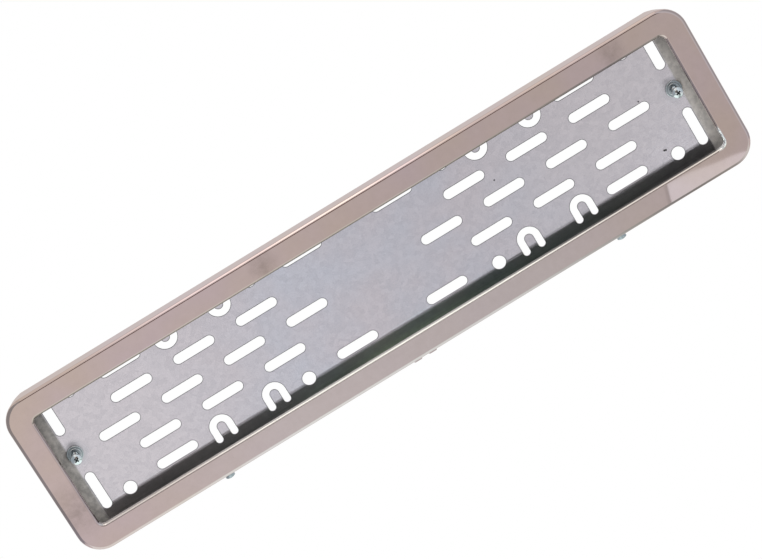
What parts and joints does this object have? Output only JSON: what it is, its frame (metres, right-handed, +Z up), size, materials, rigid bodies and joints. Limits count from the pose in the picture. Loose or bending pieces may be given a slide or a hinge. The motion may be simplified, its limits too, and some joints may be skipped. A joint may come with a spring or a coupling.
{
  "type": "number plate holder",
  "caption": "Long number plate holder: a polished steel bezel with a rolled window edge, screwed over a slotted sheet-metal base plate with flanges.",
  "frame": {"origin": "centre of the slot pattern, on the back face of the base plate", "axes": "+X along the plate to the right, +Z up across it, the bezel's front faces -Y and the back faces +Y"},
  "size_m": [0.537, 0.0195, 0.1286],
  "materials": {
    "stainless": "polished stainless sheet",
    "galvanised": "hot-dip galvanised sheet",
    "zinc_plated": "bright zinc plated"
  },
  "bodies": {
    "root": {"bezel": "stainless", "base_plate": "galvanised", "end_screw_left": "zinc_plated", "end_screw_right": "zinc_plated", "wide_washer_left": "zinc_plated", "wide_washer_right": "zinc_plated", "small_washer_left": "zinc_plated", "small_washer_right": "zinc_plated", "end_nut_left": "zinc_plated", "end_nut_right": "zinc_plated", "clamp_screw_left": "zinc_plated", "clamp_screw_right": "zinc_plated", "clamp_nut_left": "zinc_plated", "clamp_nut_right": "zinc_plated"}
  },
  "joints": []
}
